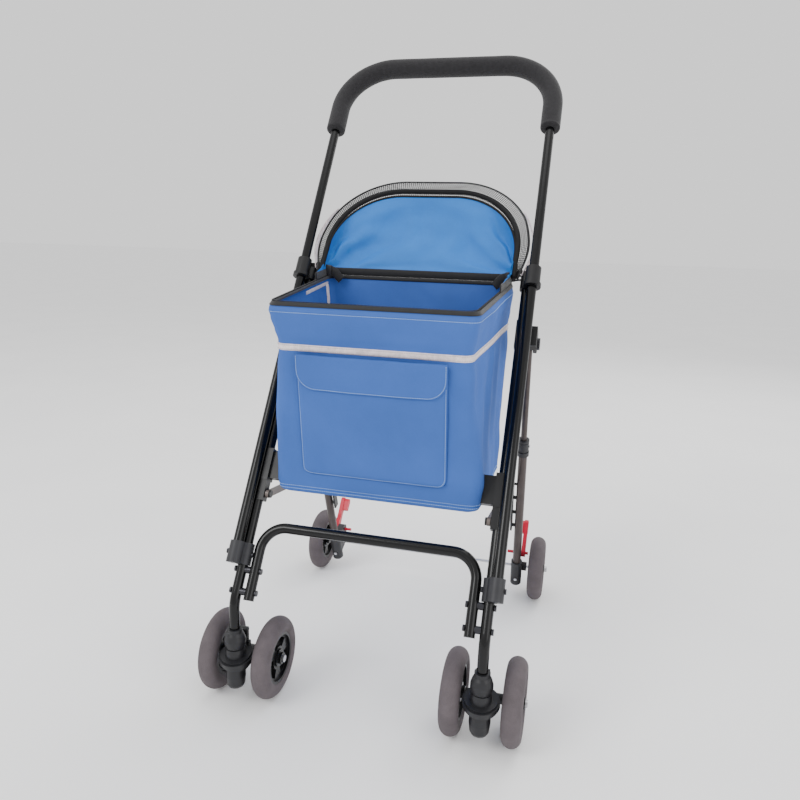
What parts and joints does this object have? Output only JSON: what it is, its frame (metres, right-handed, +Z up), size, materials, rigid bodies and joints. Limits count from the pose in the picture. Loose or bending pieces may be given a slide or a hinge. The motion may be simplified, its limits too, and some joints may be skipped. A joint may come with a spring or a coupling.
{
  "type": "pet stroller",
  "caption": "Folding pet stroller with a tubular frame, soft open basket, fold-back hood, footrest bar, swivel casters and braked rear wheels.",
  "frame": {"origin": "on the floor under the middle of the stroller's bounding box", "axes": "+X is to the right as seen from the front, and left and right in node names are as seen from the front, +Y towards the back, +Z up; the front faces -Y"},
  "size_m": [0.509, 0.5817, 1.0545],
  "materials": {
    "tube_black": "gloss black paint",
    "foam": "soft closed-cell foam",
    "clamp_grey": "fine-textured nylon",
    "black_plastic": "moulded nylon",
    "caster_plastic": "moulded nylon, satin",
    "dark_steel": "blackened steel",
    "bright_steel": "zinc plated",
    "leg_satin": "satin grey-brown paint",
    "brace_grey": "satin grey paint",
    "brake_red": "satin moulded plastic",
    "basket_fabric": "woven polyester",
    "hood_fabric": "woven polyester",
    "binding_black": "webbing and zip tape",
    "bow_black": "cloth-covered wire",
    "board": "ribbed board",
    "tyre_foam": "EVA foam tyre",
    "hub_black": "moulded nylon"
  },
  "bodies": {
    "frame": {"handle_tube": "tube_black", "foam_grip": "foam", "front_leg_left": "tube_black", "front_leg_right": "tube_black", "clamp_left": "clamp_grey", "clamp_right": "clamp_grey", "clamp_screws": "dark_steel", "footrest_bar": "tube_black", "footrest_bolts": "dark_steel", "upper_bracket_left": "black_plastic", "upper_bracket_right": "black_plastic", "pivot_bracket_left": "black_plastic", "pivot_bracket_right": "black_plastic", "pivot_pins": "dark_steel", "side_bracket_left": "black_plastic", "side_bracket_right": "black_plastic", "basket_shell": "basket_fabric", "basket_floor": "board", "basket_rim": "binding_black", "pocket_body": "basket_fabric", "caster_cup_left": "caster_plastic", "caster_cup_right": "caster_plastic"},
    "rear_frame": {"rear_leg_left": "leg_satin", "rear_leg_right": "leg_satin", "upper_link_left": "leg_satin", "upper_link_right": "leg_satin", "sleeve_left": "clamp_grey", "sleeve_right": "clamp_grey", "foot_bracket_left": "clamp_grey", "foot_bracket_right": "clamp_grey", "leg_catch_left": "black_plastic", "leg_catch_right": "black_plastic", "axle_rod": "bright_steel", "leg_rivets": "bright_steel", "axle_nuts": "bright_steel"},
    "brace_left": {"brace_left": "brace_grey"},
    "brace_right": {"brace_right": "brace_grey"},
    "brake_left": {"brake_left": "brake_red"},
    "brake_right": {"brake_right": "brake_red"},
    "caster_left": {"caster_body_left": "caster_plastic", "caster_axle_left": "bright_steel"},
    "caster_right": {"caster_body_right": "caster_plastic", "caster_axle_right": "bright_steel"},
    "swivel_lock_left": {"swivel_lock_left": "caster_plastic"},
    "swivel_lock_right": {"swivel_lock_right": "caster_plastic"},
    "flap": {"pocket_flap": "basket_fabric"},
    "hood": {"hood_bow": "bow_black", "hood_panel": "hood_fabric"},
    "rear_wheel_left": {"rear_tyre_left": "tyre_foam", "rear_hub_left": "hub_black"},
    "rear_wheel_right": {"rear_tyre_right": "tyre_foam", "rear_hub_right": "hub_black"},
    "wheel_left_outer": {"tyre_left_outer": "tyre_foam", "hub_left_outer": "hub_black"},
    "wheel_left_inner": {"tyre_left_inner": "tyre_foam", "hub_left_inner": "hub_black"},
    "wheel_right_outer": {"tyre_right_outer": "tyre_foam", "hub_right_outer": "hub_black"},
    "wheel_right_inner": {"tyre_right_inner": "tyre_foam", "hub_right_inner": "hub_black"}
  },
  "joints": [
    {"name": "rear_fold", "type": "hinge", "parent": "frame", "child": "rear_frame", "pos_m": [0, 0.022, 0.555], "axis": [-1, 0, 0], "range_deg": [0, 30]},
    {"name": "brace_swing_left", "type": "hinge", "parent": "frame", "child": "brace_left", "pos_m": [-0.176, -0.1756, 0.31597], "axis": [-1, 0, 0], "range_deg": [0, 13.05]},
    {"name": "brace_swing_right", "type": "hinge", "parent": "frame", "child": "brace_right", "pos_m": [0.176, -0.1756, 0.31597], "axis": [-1, 0, 0], "range_deg": [0, 13.05]},
    {"name": "brake_lever_left", "type": "hinge", "parent": "rear_frame", "child": "brake_left", "pos_m": [-0.2, 0.232, 0.09], "axis": [-1, 0, 0], "range_deg": [0, 25]},
    {"name": "rear_wheel_spin_left", "type": "hinge", "parent": "rear_frame", "child": "rear_wheel_left", "pos_m": [-0.2335, 0.226, 0.0635], "axis": [1, 0, 0], "continuous": true},
    {"name": "brake_lever_right", "type": "hinge", "parent": "rear_frame", "child": "brake_right", "pos_m": [0.2, 0.232, 0.09], "axis": [-1, 0, 0], "range_deg": [0, 25]},
    {"name": "rear_wheel_spin_right", "type": "hinge", "parent": "rear_frame", "child": "rear_wheel_right", "pos_m": [0.2335, 0.226, 0.0635], "axis": [1, 0, 0], "continuous": true},
    {"name": "caster_swivel_left", "type": "hinge", "parent": "frame", "child": "caster_left", "pos_m": [-0.1905, -0.268, 0.075], "axis": [0, 0, 1], "continuous": true},
    {"name": "wheel_spin_left_outer", "type": "hinge", "parent": "caster_left", "child": "wheel_left_outer", "pos_m": [-0.2351, -0.226, 0.0635], "axis": [1, 0, 0], "continuous": true},
    {"name": "wheel_spin_left_inner", "type": "hinge", "parent": "caster_left", "child": "wheel_left_inner", "pos_m": [-0.1459, -0.226, 0.0635], "axis": [1, 0, 0], "continuous": true},
    {"name": "swivel_lock_tab_left", "type": "hinge", "parent": "caster_left", "child": "swivel_lock_left", "pos_m": [-0.1905, -0.241, 0.092], "axis": [-1, 0, 0], "range_deg": [0, 50]},
    {"name": "caster_swivel_right", "type": "hinge", "parent": "frame", "child": "caster_right", "pos_m": [0.1905, -0.268, 0.075], "axis": [0, 0, 1], "continuous": true},
    {"name": "wheel_spin_right_outer", "type": "hinge", "parent": "caster_right", "child": "wheel_right_outer", "pos_m": [0.2351, -0.226, 0.0635], "axis": [1, 0, 0], "continuous": true},
    {"name": "wheel_spin_right_inner", "type": "hinge", "parent": "caster_right", "child": "wheel_right_inner", "pos_m": [0.1459, -0.226, 0.0635], "axis": [1, 0, 0], "continuous": true},
    {"name": "swivel_lock_tab_right", "type": "hinge", "parent": "caster_right", "child": "swivel_lock_right", "pos_m": [0.1905, -0.241, 0.092], "axis": [-1, 0, 0], "range_deg": [0, 50]},
    {"name": "pocket_flap_lift", "type": "hinge", "parent": "frame", "child": "flap", "pos_m": [0, -0.21772, 0.55058], "axis": [-1, 0, 0], "range_deg": [0, 110]},
    {"name": "hood_fold", "type": "hinge", "parent": "frame", "child": "hood", "pos_m": [0, 0.032, 0.66], "axis": [1, 0, 0], "range_deg": [0, 95]}
  ],
  "couplings": [
    {"joint": "brace_swing_left", "follows": "rear_fold", "ratio": 0.4335},
    {"joint": "brace_swing_right", "follows": "rear_fold", "ratio": 0.4335}
  ]
}
